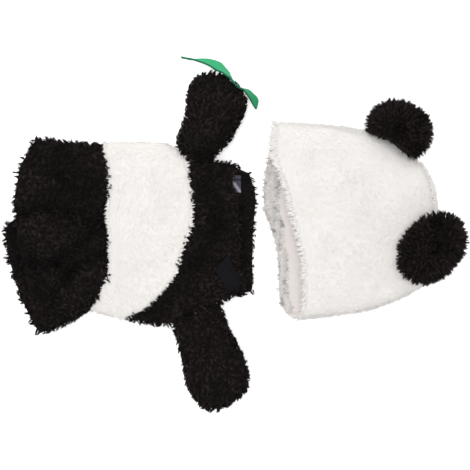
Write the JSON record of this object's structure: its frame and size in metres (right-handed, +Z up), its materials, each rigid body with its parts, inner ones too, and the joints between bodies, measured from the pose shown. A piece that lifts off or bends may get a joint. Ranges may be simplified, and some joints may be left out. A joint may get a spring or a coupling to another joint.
{
  "type": "panda costume for a small dog, with hat",
  "caption": "Plush panda costume for a small dog, laid flat: a body garment with short legs and stuffed arms, and a cap with pompom ears.",
  "frame": {"origin": "middle of the whole costume's box, on the surface that it lies on", "axes": "+X from the legs past the neck to the crown of the hat, +Y towards the garment's right arm, +Z up from the surface"},
  "size_m": [0.4135, 0.3173, 0.0688],
  "materials": {
    "black_plush": "curly teddy pile",
    "white_plush": "short smooth pile",
    "black_yarn": "dense cut pompom yarn",
    "green_felt": "pressed felt",
    "loop_tape": "fine loop pile",
    "hook_tape": "stiff hooks on a woven ground",
    "dark_lining": "smooth knit"
  },
  "bodies": {
    "root": {"leg_right": "black_plush", "leg_left": "black_plush", "belly_front": "white_plush", "belly_back": "white_plush", "chest_front": "black_plush", "chest_back": "black_plush", "arm_right": "black_plush", "arm_left": "black_plush", "leaf": "green_felt", "loop_tape": "loop_tape", "hook_tape": "hook_tape", "neck_facing": "dark_lining", "hat_front": "white_plush", "hat_back": "white_plush", "ear_right": "black_yarn", "ear_left": "black_yarn"}
  },
  "joints": []
}
